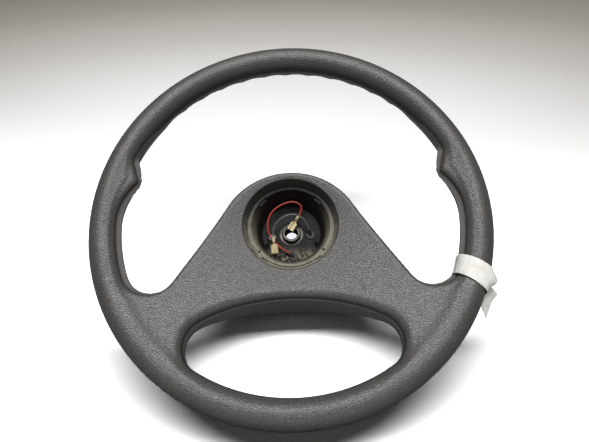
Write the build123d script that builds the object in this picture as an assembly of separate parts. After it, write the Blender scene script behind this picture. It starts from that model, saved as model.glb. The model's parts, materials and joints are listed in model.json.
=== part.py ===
from build123d import *
import math
import os

os.makedirs("parts", exist_ok=True)

# Steering wheel, millimetres. The column bore is the Z axis, its rear end is the origin,
# +Z points at the driver and +Y at the top of the wheel.

# Rim
RIM_OUTER_R = 190.0
RIM_WIDTH = 26.5
RIM_FRONT_H = 14.0
RIM_REAR_H = 18.0
RIM_DEPTH = RIM_FRONT_H + RIM_REAR_H
RIM_Z = 76.0
RIM_MID_R = RIM_OUTER_R - RIM_WIDTH / 2
RIM_INNER_R = RIM_OUTER_R - RIM_WIDTH

# Finger grips behind the upper arc
GRIP_COUNT = 12
GRIP_PITCH_DEG = 8.2
GRIP_DEPTH = 1.3
GRIP_SWEEP_R = 50.0
GRIP_SIDE_DEG = 45.0

# Spoke panel, front and rear surfaces of revolution
MOUTH_R = 48.0
MOUTH_Z = 52.0
FRONT_EDGE_IN = 8.75
FRONT_EDGE_UP = 10.0
FRONT_EDGE_R = RIM_MID_R - FRONT_EDGE_IN
FRONT_EDGE_Z = RIM_Z + FRONT_EDGE_UP
FRONT_SLOPE = (FRONT_EDGE_Z - MOUTH_Z) / (FRONT_EDGE_R - MOUTH_R)
BELL_Z = 4.0
BELL_R = 46.0
SPOKE_BACK_R = 100.0
SPOKE_BACK_Z = 36.0
RIM_BACK_Z = 71.0
BELL_SLOPE = 0.3
RIM_BACK_SLOPE = 0.05

# Upper edge of the panel, seen from the front
HUB_TOP = 55.8
DOME_DROP = 16.3
DOME_R = HUB_TOP + DOME_DROP
DIAGONAL_DEG = 59.4
SIDE_LEDGE = 3.0
SIDE_R = RIM_INNER_R - SIDE_LEDGE
CORNER_R = 22.0
SIDE_END_DEG = -3.0
THUMB_LEDGE = 12.0
THUMB_Y = 35.5
THUMB_X = math.sqrt((RIM_INNER_R - THUMB_LEDGE) ** 2 - THUMB_Y**2)
THUMB_TIP_R = 5.0
THUMB_TOP_Y = 60.0
THUMB_TOP_X = math.sqrt(RIM_INNER_R**2 - THUMB_TOP_Y**2)
THUMB_END_DEG = 25.0
UPPER_FRONT_FILLET = 4.5
UPPER_REAR_FILLET = 3.0

# Lower opening, given at the height of the rim's middle, leaning back by LOWER_LEAN_DEG
# and closed inside the rim. LOWER_ARCH is the least rise of its top edge.
LOWER_TOP = -68.5
LOWER_HALF = 95.9
LOWER_INTO_RIM = 2.5
LOWER_ARCH = 8.0
LOWER_CORNER_R = 30.0
LOWER_RUN_OUT_DEG = 8.0
LOWER_LEAN_DEG = 20.0
LOWER_FRONT_FILLET = 7.0
LOWER_REAR_FILLET = 4.0

# Hub: plate, boss and open recess
PLATE_Z = 11.0
PLATE_T = 3.0
PLATE_R = 38.0
PLATE_FRONT = PLATE_Z + PLATE_T
BORE_R = 6.5
BORE_CHAMFER = 0.8
BOSS_R = 16.0
BOSS_NECK_R = 12.0
BOSS_NOSE_R = 10.0
BOSS_NOSE_H = 4.0
BOSS_CHAMFER = 1.2
LEDGE_R = 44.0
LEDGE_Z = 40.0
LINER_T = 2.0
LINER_FOOT_R = 33.0
LINER_LIP_R = 42.5
LINER_LIP_H = 1.5
LINER_HOLE_R = 12.5
LIP_GAP_DEGS = (45.0, 135.0, 225.0, 315.0)
LIP_GAP = 10.0
LIP_GAP_DEPTH = 4.0
LIP_NOTCH = 1.6
LINER_PORT_R = 4.0
LINER_PORT_X = -20.5
LINER_PORT_Y = -2.5
POST_X = 26.0
POST_Y = -9.0
POST_T = 2.0
POST_W = 8.0
POST_H = 8.0

# Steel inside the foam
RING_ROD_R = 5.0
ARM_DEG = 38.0
ARM_WIDTH = 24.0
ARM_FLAT_R = 52.0
ARM_KNEE_R = 96.0
ARM_KNEE_Z = 49.0
ARM_BEND_R = 12.0

# Horn contacts behind the hub
POCKET_R = 36.0
CARRIER_GAP = 0.4
CARRIER_T = 6.0
CARRIER_Z = PLATE_Z - CARRIER_T
SLIP_T = 1.4
SLIP_SUNK = 0.8
SLIP_OUTER_R = 33.5
SLIP_OUTER_W = 3.5
SLIP_INNER_R = 27.0
SLIP_INNER_W = 3.4
LUG_DEGS = (210.0, 330.0)
LUG_SPAN_DEG = 26.0
LUG_INNER_R = 17.2
LUG_OUTER_R = 21.6
LUG_H = 8.0
SCREW_DEGS = (30.0, 150.0, 270.0)
SCREW_CIRCLE_R = 19.4
SCREW_R = 2.0
SCREW_HEAD_R = 2.6
SCREW_HEAD_H = 2.0
SCREW_SUNK = 0.6
SCREW_SLOT_W = 0.8
SCREW_SLOT_H = 0.9
SCREW_GAP = 0.2

# Horn wires, their bushes and spade terminals
WIRE_R = 0.9
BUSH_R = 3.0
BUSH_FLANGE_R = 4.2
BUSH_FLANGE_T = 1.4
BUSH_NECK_R = 2.0
BUSH_NECK_L = 6.0
RED_BUSH = (2.0, -26.0)
BLACK_BUSH = (20.5, -2.5)
RED_OUT = (-0.78, 0.52, 0.35)
BLACK_OUT = (-0.25, 0.72, 0.65)
RED_RUN = 9.0
BLACK_RUN = 9.5
BEND_SHARE = 0.45
BARREL_R = 1.6
BARREL_L = 5.0
NECK_L = 3.0
NECK_W = 2.6
BLADE_T = 0.7
BLADE_L = 9.0
CURL_OUTER_R = 1.5
CURL_MID_Y = 2.3

# Paper tape round the rim
TAPE_DEG = -21.6
TAPE_WIDTH = 20.0
TAPE_T = 0.35
TAPE_GAP = 0.05
TAPE_STANDOUT = 4.1
TAPE_INNER_R = SIDE_R - TAPE_STANDOUT
TAPE_SHOULDER = 5.0
TAPE_BACK_Z = 60.0
TAIL_ROOT_DEGS = (-20.5, -25.0)
TAIL_ROOT_Z = 75.0
TAIL_REACH = 10.7
TAIL_TIP_DEG = -30.5
TAIL_TIP_Z = 64.0
TAIL_SIDE = 0.55

# Distance under which two points count as the same, and rise above which an edge counts as upright
NEAR = 0.05
UPRIGHT = 0.9


def at(radius, degrees):
    """Point in the front view from a radius and an angle."""
    return (radius * math.cos(math.radians(degrees)), radius * math.sin(math.radians(degrees)))


def ring_solid(points):
    """Solid of revolution about Z from a closed outline of (radius, height) points."""
    outline = Polyline(*[(0, r, z) for r, z in points], close=True)
    return revolve(make_face(outline), Axis.Z)


def upright(radius, low, high, place=(0, 0)):
    """Upright cylinder between two heights."""
    base = Location((place[0], place[1], low))
    return base * Cylinder(radius, high - low, align=(Align.CENTER, Align.CENTER, Align.MIN))


def collar(outer_r, inner_r, low, high):
    """Upright ring between two heights."""
    return upright(outer_r, low, high) - upright(inner_r, low, high)


def front_z(radius):
    """Height of the panel's front surface at a radius."""
    return MOUTH_Z + (radius - MOUTH_R) * FRONT_SLOPE


def turned(point, side):
    """Point in the front view, on the right for side 1 and mirrored to the left for side -1."""
    return (side * point.X, point.Y)


def unit(degrees):
    """Unit vector in the front view."""
    return Vector(*at(1, degrees))


def angle_of(vector):
    """Angle of a vector in the front view, in degrees."""
    return math.degrees(math.atan2(vector.Y, vector.X))


def step_to_circle(start, direction, radius):
    """Distance from a point, along a direction, to a circle about the centre of the wheel."""
    half_b = start.dot(direction)
    return -half_b + math.sqrt(half_b**2 - start.dot(start) + radius**2)


def panel_outline():
    """Front view of the panel: hub top, diagonals, corners, thumb rests, closed inside the rim."""
    lean = 90.0 - DIAGONAL_DEG
    dome_mid = Vector(0, -DOME_DROP)
    base = dome_mid + unit(lean) * (DOME_R + CORNER_R)
    along = unit(lean - 90)
    corner = base + along * step_to_circle(base, along, SIDE_R - CORNER_R)
    corner_deg = angle_of(corner)
    turn_deg = (lean + 180 + corner_deg + 360) / 2
    dome_end = dome_mid + unit(lean) * DOME_R
    rim_end = unit(THUMB_END_DEG) * RIM_MID_R
    edges = [ThreePointArc(turned(dome_end, -1), (0, HUB_TOP), turned(dome_end, 1))]
    for side in (1, -1):
        corner_start = turned(corner - unit(lean) * CORNER_R, side)
        corner_mid = turned(corner + unit(turn_deg) * CORNER_R, side)
        corner_end = turned(unit(corner_deg) * SIDE_R, side)
        side_mid = turned(unit((corner_deg + SIDE_END_DEG) / 2) * SIDE_R, side)
        side_end = turned(unit(SIDE_END_DEG) * SIDE_R, side)
        thumb = (side * THUMB_X, THUMB_Y)
        thumb_top = (side * THUMB_TOP_X, THUMB_TOP_Y)
        edges += [
            Line(turned(dome_end, side), corner_start),
            ThreePointArc(corner_start, corner_mid, corner_end),
            ThreePointArc(corner_end, side_mid, side_end),
            TangentArc(side_end, thumb, tangent=turned(unit(SIDE_END_DEG + 90), side)),
            Line(thumb, thumb_top),
            Line(thumb_top, turned(rim_end, side)),
        ]
    edges.append(ThreePointArc(turned(rim_end, 1), (0, -RIM_MID_R), turned(rim_end, -1)))
    return make_face(edges)


def lower_outline():
    """Front view of the lower opening: top arc, round corners, ends that run out inside the rim."""
    reach = RIM_INNER_R + LOWER_INTO_RIM
    drop = LOWER_ARCH - LOWER_TOP
    room = drop + reach - LOWER_HALF
    widest = math.sqrt(room**2 + reach**2 - LOWER_HALF**2 - drop**2) - room
    corner_r = min(LOWER_CORNER_R, widest)
    across = LOWER_HALF - corner_r
    corner = Vector(across, -math.sqrt((reach - corner_r) ** 2 - across**2))
    down = corner.Y - LOWER_TOP
    top_r = (across**2 + down**2 - corner_r**2) / (2 * (-down - corner_r))
    top_mid = Vector(0, LOWER_TOP - top_r)
    meet_deg = angle_of(corner - top_mid)
    meet = top_mid + unit(meet_deg) * top_r
    low_deg = angle_of(corner)
    corner_mid = corner + unit((meet_deg + low_deg) / 2) * corner_r
    low = unit(low_deg) * reach
    foot = unit(low_deg - LOWER_RUN_OUT_DEG) * RIM_OUTER_R
    edges = [
        ThreePointArc(turned(meet, -1), (0, LOWER_TOP), turned(meet, 1)),
        ThreePointArc(turned(foot, 1), (0, -RIM_OUTER_R), turned(foot, -1)),
    ]
    for side in (1, -1):
        edges += [
            ThreePointArc(turned(meet, side), turned(corner_mid, side), turned(low, side)),
            TangentArc(turned(low, side), turned(foot, side), tangent=turned(unit(low_deg - 90), side)),
        ]
    return make_face(edges)


def web_solid():
    """Dished disc between the panel's front cone and its curved back."""
    back = Spline(
        (0, BELL_R, BELL_Z),
        (0, SPOKE_BACK_R, SPOKE_BACK_Z),
        (0, RIM_OUTER_R, RIM_BACK_Z),
        tangents=[(0, 1, BELL_SLOPE), (0, 1, RIM_BACK_SLOPE)],
    )
    rest = Polyline(
        (0, RIM_OUTER_R, RIM_BACK_Z),
        (0, RIM_OUTER_R, front_z(RIM_OUTER_R)),
        (0, 0, front_z(0)),
        (0, 0, BELL_Z),
        (0, BELL_R, BELL_Z),
    )
    return revolve(make_face(back.edges() + rest.edges()), Axis.Z)


def on_front(point):
    """True for a point on the panel's front cone."""
    return abs(point.Z - front_z(math.hypot(point.X, point.Y))) < NEAR


def free_edges(solid, front, lower):
    """Sharp edges along the panel's free outline, front or rear, of one opening."""
    chosen = []
    for edge in solid.edges():
        middle = edge @ 0.5
        inner = math.hypot(middle.X, middle.Y) < RIM_MID_R - NEAR
        standing = abs((edge % 0.5).Z) > UPRIGHT
        seam = max(abs((edge @ 0).X), abs((edge @ 1).X)) < NEAR
        round_edge = edge.geom_type == GeomType.CIRCLE
        if inner and not (standing or seam or round_edge):
            beside_cut = lower_cut.distance_to(middle) < NEAR
            if on_front(middle) == front and beside_cut == lower:
                chosen.append(edge)
    return chosen


TALL = RIM_Z + RIM_DEPTH
LEAN = math.tan(math.radians(LOWER_LEAN_DEG))

plan = panel_outline()
corners = [v for v in plan.vertices() if min(abs(v.Y - THUMB_Y), abs(v.Y - THUMB_TOP_Y)) < NEAR]
plan = fillet(corners, THUMB_TIP_R)
lower_cut = extrude(
    Location((0, -RIM_Z * LEAN, 0)) * lower_outline(),
    TALL * math.hypot(1, LEAN),
    dir=(0, LEAN, 1),
)
panel = extrude(plan, TALL) & web_solid()
panel = panel - lower_cut
panel = fillet(free_edges(panel, False, False), UPPER_REAR_FILLET)
panel = fillet(free_edges(panel, False, True), LOWER_REAR_FILLET)
panel = fillet(free_edges(panel, True, False), UPPER_FRONT_FILLET)
panel = fillet(free_edges(panel, True, True), LOWER_FRONT_FILLET)


def oval(grow):
    """Section of the rim about its middle, grown by an allowance."""
    half = RIM_WIDTH / 2 + grow
    return make_face([
        EllipticalCenterArc((0, 0), half, RIM_FRONT_H + grow, start_angle=0, arc_size=180),
        EllipticalCenterArc((0, 0), half, RIM_REAR_H + grow, start_angle=180, arc_size=180),
    ])


rim = revolve(Plane.YZ * Location((RIM_MID_R, RIM_Z)) * oval(0), Axis.Z)

# Shallow finger grooves round the inner rear side of the upper arc.
groove_r = RIM_DEPTH / 2
groove_lean = GRIP_DEPTH + groove_r - (RIM_WIDTH + RIM_DEPTH) / 4
groove_x = RIM_MID_R + groove_lean * math.cos(math.radians(GRIP_SIDE_DEG))
groove_z = RIM_Z + groove_lean * math.sin(math.radians(GRIP_SIDE_DEG))
groove = Location((groove_x, 0, groove_z), (90, 0, 0)) * Torus(groove_r + GRIP_SWEEP_R, GRIP_SWEEP_R)
first_groove = 90 - (GRIP_COUNT - 1) / 2 * GRIP_PITCH_DEG
rim = rim - [Rot(0, 0, first_groove + i * GRIP_PITCH_DEG) * groove for i in range(GRIP_COUNT)]
foam = rim + panel

# Open recess in front, pocket for the horn contacts behind.
above = front_z(RIM_MID_R)
mouth_lean = (MOUTH_R - LEDGE_R) / (MOUTH_Z - LEDGE_Z)
recess = ring_solid([
    (0, PLATE_Z),
    (LINER_FOOT_R, PLATE_Z),
    (LINER_FOOT_R, PLATE_FRONT),
    (LINER_LIP_R, LEDGE_Z),
    (LEDGE_R, LEDGE_Z),
    (LEDGE_R + (above - LEDGE_Z) * mouth_lean, above),
    (0, above),
])
pocket = ring_solid([(0, -BELL_Z), (POCKET_R, -BELL_Z), (POCKET_R, PLATE_Z), (0, PLATE_Z)])
foam = foam - recess - pocket

# Steel skeleton
ring_rod = Location((0, 0, RIM_Z)) * Torus(RIM_MID_R, RING_ROD_R)
arm_path = FilletPolyline(
    (0, 0, PLATE_Z + PLATE_T / 2),
    (ARM_FLAT_R, 0, PLATE_Z + PLATE_T / 2),
    (ARM_KNEE_R, 0, ARM_KNEE_Z),
    (RIM_MID_R, 0, RIM_Z),
    radius=ARM_BEND_R,
)
path_flat = [Plane.XZ.to_local_coords(edge) for edge in arm_path.edges()]
arm_side = Plane.XZ * trace(path_flat, PLATE_T)
arm = extrude(arm_side, ARM_WIDTH / 2, both=True)
arm = arm - upright(PLATE_R, PLATE_Z, PLATE_FRONT) - ring_rod
arm_right = Rot(0, 0, -ARM_DEG) * arm
arm_left = Rot(0, 0, 180 + ARM_DEG) * arm


plate = collar(PLATE_R, BOSS_NECK_R, PLATE_Z, PLATE_FRONT)
screw_spots = [at(SCREW_CIRCLE_R, degrees) for degrees in SCREW_DEGS]
for spot in screw_spots:
    plate = plate - upright(SCREW_R, PLATE_Z, PLATE_FRONT, spot)
for spot in (RED_BUSH, BLACK_BUSH):
    plate = plate - upright(BUSH_R, PLATE_Z, PLATE_FRONT, spot)

nose_z = PLATE_FRONT + BOSS_NOSE_H
boss = ring_solid([
    (BORE_R, 0),
    (BOSS_R - BOSS_CHAMFER, 0),
    (BOSS_R, BOSS_CHAMFER),
    (BOSS_R, PLATE_Z),
    (BOSS_NECK_R, PLATE_Z),
    (BOSS_NECK_R, PLATE_FRONT),
    (BOSS_NOSE_R, PLATE_FRONT),
    (BOSS_NOSE_R, nose_z - BOSS_CHAMFER),
    (BOSS_NOSE_R - BOSS_CHAMFER, nose_z),
    (BORE_R + BORE_CHAMFER, nose_z),
    (BORE_R, nose_z - BORE_CHAMFER),
])

foam = foam - ring_rod - arm_right - arm_left - plate

# Plastic cup in the recess, its lip in four arcs, with two posts and ports in the floor.
floor_z = PLATE_FRONT + LINER_T
lip_z = LEDGE_Z + LINER_LIP_H
liner = ring_solid([
    (LINER_HOLE_R, PLATE_FRONT),
    (LINER_FOOT_R, PLATE_FRONT),
    (LINER_LIP_R, LEDGE_Z),
    (LINER_LIP_R, lip_z),
    (LINER_LIP_R - LINER_T, lip_z),
    (LINER_FOOT_R - LINER_T, floor_z),
    (LINER_HOLE_R, floor_z),
])
for degrees in LIP_GAP_DEGS:
    gap = Location((LINER_LIP_R, 0, lip_z)) * Box(LEDGE_R - LINER_FOOT_R, LIP_GAP, 2 * LIP_GAP_DEPTH)
    liner = liner - Rot(0, 0, degrees) * gap
notch = Location((0, LINER_LIP_R, lip_z)) * Box(LIP_NOTCH, LEDGE_R - LINER_FOOT_R, 2 * LINER_LIP_H)
liner = liner - notch
liner = liner - upright(LINER_PORT_R, PLATE_FRONT, floor_z, (LINER_PORT_X, LINER_PORT_Y))
for spot in (RED_BUSH, BLACK_BUSH):
    liner = liner - upright(BUSH_R, PLATE_FRONT, floor_z, spot)
for side in (1, -1):
    post = Location((side * POST_X, POST_Y, floor_z)) * Box(
        POST_T, POST_W, POST_H, align=(Align.CENTER, Align.CENTER, Align.MIN))
    liner = liner + post

# Contact carrier behind the hub with its lugs, rings and screws
carrier = collar(POCKET_R - CARRIER_GAP, BOSS_R + CARRIER_GAP, CARRIER_Z, PLATE_Z)
lug_ring = collar(LUG_OUTER_R, LUG_INNER_R, CARRIER_Z - LUG_H, CARRIER_Z)
for degrees in LUG_DEGS:
    wedge_points = [(0, 0)]
    for half in (-LUG_SPAN_DEG / 2, 0, LUG_SPAN_DEG / 2):
        wedge_points.append(at(2 * LUG_OUTER_R, degrees + half))
    wedge = extrude(make_face(Polyline(*wedge_points, close=True)), 2 * LUG_H, both=True)
    carrier = carrier + (lug_ring & wedge)
slip_z = CARRIER_Z + SLIP_SUNK
slip_outer = collar(SLIP_OUTER_R, SLIP_OUTER_R - SLIP_OUTER_W, slip_z - SLIP_T, slip_z)
slip_inner = collar(SLIP_INNER_R, SLIP_INNER_R - SLIP_INNER_W, slip_z - SLIP_T, slip_z)
carrier = carrier - slip_outer - slip_inner
head_low = CARRIER_Z + SCREW_SUNK
head_top = head_low + SCREW_HEAD_H
screws = []
for spot in screw_spots:
    carrier = carrier - upright(SCREW_HEAD_R + SCREW_GAP, CARRIER_Z, head_top, spot)
    carrier = carrier - upright(SCREW_R + SCREW_GAP, head_top, PLATE_Z, spot)
    screw = upright(SCREW_HEAD_R, head_low, head_top, spot) + upright(SCREW_R, head_top, PLATE_FRONT, spot)
    slot = Box(2 * SCREW_HEAD_R, SCREW_SLOT_W, 2 * SCREW_SLOT_H)
    screws.append(screw - Location((spot[0], spot[1], head_low)) * slot)


def bush(place, out):
    """Rubber bush in the hub floor with a slanted neck for the wire."""
    body = upright(BUSH_R, PLATE_Z, floor_z, place)
    body = body + upright(BUSH_FLANGE_R, floor_z, floor_z + BUSH_FLANGE_T, place)
    slant = Plane(origin=(place[0], place[1], floor_z), z_dir=out)
    neck = slant * Cylinder(BUSH_NECK_R, BUSH_NECK_L, align=(Align.CENTER, Align.CENTER, Align.MIN))
    neck = neck - upright(2 * BUSH_FLANGE_R, PLATE_Z, floor_z, place)
    return body + neck, slant.origin + slant.z_dir * BUSH_NECK_L


bush_red, red_start = bush(RED_BUSH, RED_OUT)
bush_black, black_start = bush(BLACK_BUSH, BLACK_OUT)

# Wire routes, from the end of the bush's neck to the terminal
RED_ROUTE = [
    red_start,
    red_start + Vector(*RED_OUT).normalized() * RED_RUN,
    Vector(-18.5, -10.5, 20.5),
    Vector(-25.8, 3.0, 22.5),
    Vector(-23.5, 19.0, 26.0),
    Vector(-11.0, 29.5, 28.0),
    Vector(5.0, 33.0, 29.0),
    Vector(14.2, 25.4, 26.7),
    Vector(8.2, 16.5, 24.5),
]
BLACK_ROUTE = [
    black_start,
    black_start + Vector(*BLACK_OUT).normalized() * BLACK_RUN,
    Vector(9.0, 16.0, 31.0),
    Vector(-3.0, 16.5, 32.0),
    Vector(-13.5, 10.5, 30.5),
    Vector(-19.4, 1.3, 28.3),
    Vector(-18.8, -6.5, 26.5),
]


def wire(route, name):
    """Round wire along straight runs joined by tangent arcs."""
    radii = []
    for before, here, after in zip(route, route[1:], route[2:]):
        turn = math.radians((here - before).get_angle(after - here))
        shorter = min((here - before).length, (after - here).length)
        radii.append(BEND_SHARE * shorter / math.tan(turn / 2))
    path = FilletPolyline(*route, radius=radii)
    print(name, "radii", [round(r, 1) for r in radii], "length", round(path.length, 1))
    start = Plane(origin=path @ 0, z_dir=path % 0)
    tube = sweep(start * Circle(WIRE_R), path=path)
    print(name, "volume ratio", round(tube.volume / (math.pi * WIRE_R**2 * path.length), 4))
    return tube


wire_red = wire(RED_ROUTE, "red wire")
wire_black = wire(BLACK_ROUTE, "black wire")


def terminal(route):
    """Female spade terminal: crimped barrel, neck and a blade seat with two rolled sides."""
    tip = route[-1]
    along = (route[-1] - route[-2]).normalized()
    across = Vector(0, 0, 1).cross(along).normalized()
    frame = Plane(origin=tip, x_dir=along, z_dir=along.cross(across))
    seat_x = BARREL_L + NECK_L
    on_floor = (Align.MIN, Align.CENTER, Align.MIN)
    neck = Box(BARREL_L / 2 + NECK_L, NECK_W, BLADE_T, align=on_floor)
    seat = Box(BLADE_L, 2 * CURL_MID_Y, BLADE_T, align=on_floor)
    room = Box(BLADE_L, 2 * CURL_MID_Y, CURL_OUTER_R, align=on_floor)
    room = Location((seat_x, 0, BLADE_T - BARREL_R)) * room
    body = Location((0, 0, 0), (0, 90, 0)) * upright(BARREL_R, 0, BARREL_L)
    body = body + Location((BARREL_L / 2, 0, -BARREL_R)) * neck
    body = body + Location((seat_x, 0, -BARREL_R)) * seat
    curl = collar(CURL_OUTER_R, CURL_OUTER_R - BLADE_T, 0, BLADE_L)
    for side in (1, -1):
        spot = Location((seat_x, side * CURL_MID_Y, CURL_OUTER_R - BARREL_R), (0, 90, 0))
        body = body + (spot * curl - room)
    return frame * body


terminal_red = terminal(RED_ROUTE)
terminal_black = terminal(BLACK_ROUTE)


# Tape: a band that bridges from the rim to the panel's edge, and a loose tail
def tape_loop(grow):
    """Section inside the tape: the rim's oval and the edge of the panel beside it."""
    front = front_z(TAPE_INNER_R) - RIM_Z
    inner = TAPE_INNER_R - RIM_MID_R
    return oval(grow) + make_face(Polyline(
        (0, RIM_FRONT_H + grow),
        (inner + TAPE_SHOULDER, front + TAPE_SHOULDER + grow),
        (inner - grow, front - TAPE_SHOULDER),
        (inner - grow, TAPE_BACK_Z - RIM_Z - grow),
        (0, -RIM_REAR_H - grow),
        close=True,
    ))


band_face = tape_loop(TAPE_GAP + TAPE_T) - tape_loop(TAPE_GAP)
half_turn = math.degrees(TAPE_WIDTH / 2 / RIM_MID_R)
band_section = Plane.YZ * Location((RIM_MID_R, RIM_Z)) * band_face
band = Rot(0, 0, TAPE_DEG - 90 - half_turn) * revolve(band_section, Axis.Z, 2 * half_turn)
root_half = math.radians(TAIL_ROOT_DEGS[0] - TAIL_ROOT_DEGS[1]) / 2
root_r = (RIM_OUTER_R + TAPE_GAP + TAPE_T / 2) / math.cos(root_half)
root_a = Vector(*at(root_r, TAIL_ROOT_DEGS[0]), TAIL_ROOT_Z)
root_b = Vector(*at(root_r, TAIL_ROOT_DEGS[1]), TAIL_ROOT_Z)
tip = Vector(*at(RIM_OUTER_R + TAIL_REACH, TAIL_TIP_DEG), TAIL_TIP_Z)
tail_side = root_a + (tip - root_b) * TAIL_SIDE
tail = extrude(make_face(Polyline(root_a, tail_side, tip, root_b, close=True)), TAPE_T / 2, both=True)
tape = band + tail

pieces = {
    "foam_moulding": foam,
    "rim_ring": ring_rod,
    "spoke_arm_right": arm_right,
    "spoke_arm_left": arm_left,
    "hub_plate": plate,
    "hub_boss": boss,
    "hub_liner": liner,
    "contact_carrier": carrier,
    "slip_ring_outer": slip_outer,
    "slip_ring_inner": slip_inner,
    "carrier_screw_1": screws[0],
    "carrier_screw_2": screws[1],
    "carrier_screw_3": screws[2],
    "bush_red": bush_red,
    "bush_black": bush_black,
    "horn_wire_red": wire_red,
    "horn_wire_black": wire_black,
    "terminal_red": terminal_red,
    "terminal_black": terminal_black,
    "paper_tape": tape,
}
for name, shape in pieces.items():
    print(name, len(shape.solids()), shape.is_valid, round(shape.volume, 1))
    export_step(shape, f"parts/{name}.step")
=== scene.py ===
import json
import math

import bpy
import numpy as np
from mathutils import Matrix, Vector


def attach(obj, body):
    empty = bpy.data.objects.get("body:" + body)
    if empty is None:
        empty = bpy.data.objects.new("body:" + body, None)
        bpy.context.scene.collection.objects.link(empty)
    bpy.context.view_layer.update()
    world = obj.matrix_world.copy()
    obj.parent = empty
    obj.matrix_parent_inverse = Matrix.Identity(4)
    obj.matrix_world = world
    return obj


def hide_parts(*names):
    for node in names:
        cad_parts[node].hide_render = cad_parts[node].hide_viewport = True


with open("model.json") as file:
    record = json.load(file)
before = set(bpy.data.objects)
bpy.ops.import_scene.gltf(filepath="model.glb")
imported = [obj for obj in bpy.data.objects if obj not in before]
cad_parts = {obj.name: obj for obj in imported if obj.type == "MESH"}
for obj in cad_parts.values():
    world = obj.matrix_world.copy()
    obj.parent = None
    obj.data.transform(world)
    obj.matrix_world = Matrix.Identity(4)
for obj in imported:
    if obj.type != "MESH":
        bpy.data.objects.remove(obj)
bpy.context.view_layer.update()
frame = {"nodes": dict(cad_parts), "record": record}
nodes = frame["nodes"]
scene = bpy.context.scene
MM = 0.001

# Sizes of the wheel in millimetres, most of them those of the solids
RIM_OUTER_R = 190.0
RIM_WIDTH = 26.5
RIM_HALF = RIM_WIDTH / 2
RIM_MID_R = RIM_OUTER_R - RIM_HALF
RIM_INNER_R = RIM_MID_R - RIM_HALF
RIM_FRONT_H = 14.0
RIM_REAR_H = 18.0
RIM_Z = 76.0
MOUTH_R = 48.0
MOUTH_Z = 52.0
FRONT_EDGE_R = 168.0
FRONT_EDGE_Z = 86.0
FRONT_SLOPE = (FRONT_EDGE_Z - MOUTH_Z) / (FRONT_EDGE_R - MOUTH_R)
BELL_Z = 4.0
BELL_R = 46.0
SPOKE_BACK_R = 100.0
SPOKE_BACK_Z = 36.0
RIM_BACK_Z = 71.0
BELL_SLOPE = 0.3
SPOKE_BACK_SLOPE = 0.671
RIM_BACK_SLOPE = 0.05
HUB_TOP = 55.8
DOME_DROP = 16.3
DIAGONAL_DEG = 59.4
SIDE_LEDGE = 3.0
SIDE_R = RIM_INNER_R - SIDE_LEDGE
CORNER_R = 22.0
SIDE_END_DEG = -3.0
THUMB_TIP_R = 5.0
THUMB_END_DEG = 25.0
UPPER_FRONT_ROUND = 4.5
UPPER_REAR_ROUND = 3.5
LOWER_TOP = -68.5
LOWER_HALF = 95.9
LOWER_OVERLAP = 2.5
LOWER_REACH = RIM_INNER_R + LOWER_OVERLAP
LOWER_CORNER_R = 30.0
LOWER_RUN_OUT_DEG = 8.0
LOWER_LEAN = math.tan(math.radians(20.0))
LOWER_FRONT_ROUND = 7.0
LOWER_REAR_ROUND = 4.0
GRIP_COUNT = 12
GRIP_PITCH_DEG = 8.2
GRIP_DEPTH = 1.3
GRIP_SWEEP_R = 50.0
LEDGE_R = 44.0
LEDGE_Z = 40.0
LINER_LIP_R = 42.5
LINER_FOOT_R = 33.0
PLATE_Z = 11.0
PLATE_T = 3.0
PLATE_FRONT = PLATE_Z + PLATE_T
POCKET_R = 36.0

# Forms of the moulding that are finer here than in the solids: thumb rests, notches in the mouth,
# blends, and the parting line with the painted shade along the edge in front of it
THUMB_LEDGE = 16.0
THUMB_Y = 37.0
THUMB_TOP_Y = 64.0
NOTCH_R = 44.6
NOTCH_DEG = -51.0
NOTCH_HALF = 2.8
SEAT_REACH = 1.0
SEAT_DEPTH = 2.0
GROOVE_BLEND = 0.8
SIDE_BACK_Z = 73.0
SIDE_STEP = 3.7
SIDE_RUN = 3.5
SIDE_PARTING = 4.0
SIDE_LOW_DEG = -36.0
SIDE_LOW_RUN = 18.0
SIDE_HIGH_DEG = 40.0
SIDE_HIGH_RUN = 15.0
SIDE_ZONE_R = 130.0
SIDE_ZONE_RUN = 15.0
EDGE_BLEND = 2.5
PANEL_BLEND = 12.0
MOUTH_ROUND = 0.8
UPPER_PARTING = 5.5
LOWER_PARTING = 7.0
PARTING_STEP = 0.8
RIM_PARTING_Z = RIM_Z - 1.0
RIM_ZONE_R = 156.0
RIM_ZONE_SHIFT = 12.0
RIM_ZONE_RUN = 10.0
CUT_EDGE = 4.0
# Painted shade along the edge before the parting line: where it starts and grows on the panel and the rim
SHADE_START = 0.25
SHADE_RUN = 0.6
RIM_SHADE_H = 8.0
RIM_SHADE_RUN = 6.0

# Grid that the moulding is meshed on: start, end and spacing of each stretch, and steps round the wheel
GRID_RADII = ((30, 40, 2.0), (40, 52, 0.75), (52, 160, 2.1), (160, 193, 1.65))
GRID_HEIGHTS = ((1, 38, 2.0), (38, 56, 0.8), (56, 94, 1.65))
GRID_ANGLES = 400
COARSE = 1.0
SHARP_DEG = 50.0

# Points along the arcs of the outlines, and the part of the front view that distances are kept for
ARC_POINTS = 60
SIDE_POINTS = 24
RIM_POINTS = 120
FOOT_POINTS = 40
FIELD_REACH = 206.0
LOWER_FIELD_LOW = -240.0
LOWER_FIELD_HIGH = -20.0
FIELD_BORDER = 3.001
TINY = 1e-9

# The wheel rests on the back of its hub and the bottom of its rim
TABLE_TILT_DEG = 22.14
TABLE_OFFSET = -13.63


def unit(degrees):
    """Unit vector in the front view."""
    return np.array([math.cos(math.radians(degrees)), math.sin(math.radians(degrees))])


def arc(middle, radius, start_deg, end_deg, count):
    """Points along an arc in the front view."""
    return [np.asarray(middle) + unit(a) * radius for a in np.linspace(start_deg, end_deg, count)]


def angle_of(vector):
    """Angle of a vector in the front view, in degrees."""
    return math.degrees(math.atan2(vector[1], vector[0]))


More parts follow.
